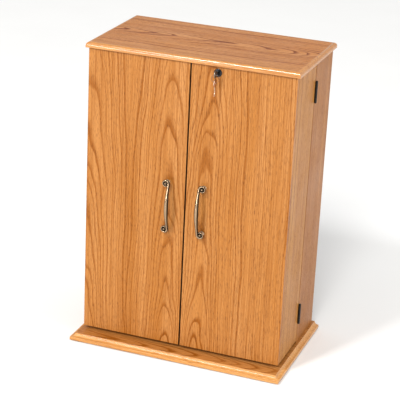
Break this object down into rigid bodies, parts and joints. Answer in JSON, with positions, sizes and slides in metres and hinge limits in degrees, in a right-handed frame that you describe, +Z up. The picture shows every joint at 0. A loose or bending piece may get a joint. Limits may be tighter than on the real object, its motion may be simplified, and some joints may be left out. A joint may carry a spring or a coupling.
{
  "type": "media cabinet",
  "caption": "Oak-finish media cabinet with deep shelved box doors on outside hinges, a shelved carcass, bowed brass pulls, a cam lock with hanging keys and a stepped plinth.",
  "frame": {"origin": "on the floor, at the centre of the footprint", "axes": "+Z up, +Y to the back, +X to the viewer's right; the doors face -Y"},
  "size_m": [0.643, 0.4, 0.895],
  "materials": {
    "oak_face": "satin oak-grain laminate",
    "oak_side": "satin oak-grain laminate",
    "oak_inside": "satin oak-grain laminate",
    "dowel": "sanded and clear lacquered",
    "hardboard": "smooth fibreboard",
    "antique_brass": "antiqued, rubbed bright on the high spots",
    "black_steel": "satin black",
    "black_zinc": "satin black",
    "bright_steel": "nickel plated",
    "white_plastic": "moulded"
  },
  "bodies": {
    "cabinet": {"base_board": "oak_face", "top_board": "oak_face", "left_side_panel": "oak_side", "right_side_panel": "oak_side", "back_panel": "hardboard", "cabinet_shelf_lower": "oak_inside", "cabinet_shelf_middle": "oak_inside", "cabinet_shelf_upper": "oak_inside", "left_catch": "white_plastic", "right_catch": "white_plastic", "left_lower_hinge_case_leaf": "black_steel", "left_lower_hinge_pin": "black_steel", "left_upper_hinge_case_leaf": "black_steel", "left_upper_hinge_pin": "black_steel", "right_lower_hinge_case_leaf": "black_steel", "right_lower_hinge_pin": "black_steel", "right_upper_hinge_case_leaf": "black_steel", "right_upper_hinge_pin": "black_steel"},
    "left_door": {"left_door_front_panel": "oak_face", "left_door_outer_side": "oak_side", "left_door_inner_side": "oak_side", "left_door_bottom": "oak_inside", "left_door_top": "oak_inside", "left_door_shelf_lower": "oak_inside", "left_door_shelf_middle": "oak_inside", "left_door_shelf_upper": "oak_inside", "left_door_rail_1": "dowel", "left_door_rail_2": "dowel", "left_door_rail_3": "dowel", "left_door_rail_4": "dowel", "left_lower_hinge_door_leaf": "black_steel", "left_upper_hinge_door_leaf": "black_steel", "left_pull": "antique_brass", "left_strike_plate": "bright_steel", "left_bolt_guide": "bright_steel"},
    "right_door": {"right_door_front_panel": "oak_face", "right_door_outer_side": "oak_side", "right_door_inner_side": "oak_side", "right_door_bottom": "oak_inside", "right_door_top": "oak_inside", "right_door_shelf_lower": "oak_inside", "right_door_shelf_middle": "oak_inside", "right_door_shelf_upper": "oak_inside", "right_door_rail_1": "dowel", "right_door_rail_2": "dowel", "right_door_rail_3": "dowel", "right_door_rail_4": "dowel", "right_lower_hinge_door_leaf": "black_steel", "right_upper_hinge_door_leaf": "black_steel", "right_pull": "antique_brass", "right_strike_plate": "bright_steel", "lock_body": "black_zinc", "lock_nut": "bright_steel"},
    "lock_cylinder": {"lock_plug": "black_zinc", "lock_cam": "bright_steel", "lock_cam_screw": "bright_steel"},
    "key": {"lock_key": "bright_steel"},
    "ring": {"key_ring": "bright_steel"},
    "hanging_key": {"spare_key": "bright_steel"},
    "bolt": {"left_bolt_rod": "bright_steel"}
  },
  "joints": [
    {"name": "left_door_hinge", "type": "hinge", "parent": "cabinet", "child": "left_door", "pos_m": [-0.3053, 0.028, 0.457], "axis": [0, 0, -1], "range_deg": [0, 180]},
    {"name": "right_door_hinge", "type": "hinge", "parent": "cabinet", "child": "right_door", "pos_m": [0.3053, 0.028, 0.457], "axis": [0, 0, 1], "range_deg": [0, 180]},
    {"name": "lock_turn", "type": "hinge", "parent": "right_door", "child": "lock_cylinder", "pos_m": [0.078, -0.146, 0.861], "axis": [0, -1, 0], "range_deg": [0, 90]},
    {"name": "key_pull_out", "type": "slide", "parent": "lock_cylinder", "child": "key", "axis": [0, -1, 0], "range_m": [0, 0.026]},
    {"name": "ring_swing", "type": "hinge", "parent": "key", "child": "ring", "pos_m": [0.078, -0.166, 0.861], "axis": [1, 0, 0], "range_deg": [-50, 8]},
    {"name": "spare_key_swing", "type": "hinge", "parent": "ring", "child": "hanging_key", "pos_m": [0.078, -0.166, 0.839], "axis": [1, 0, 0], "range_deg": [-50, 8]},
    {"name": "left_bolt_slide", "type": "slide", "parent": "left_door", "child": "bolt", "axis": [0, 0, 1], "range_m": [0, 0.012]}
  ]
}
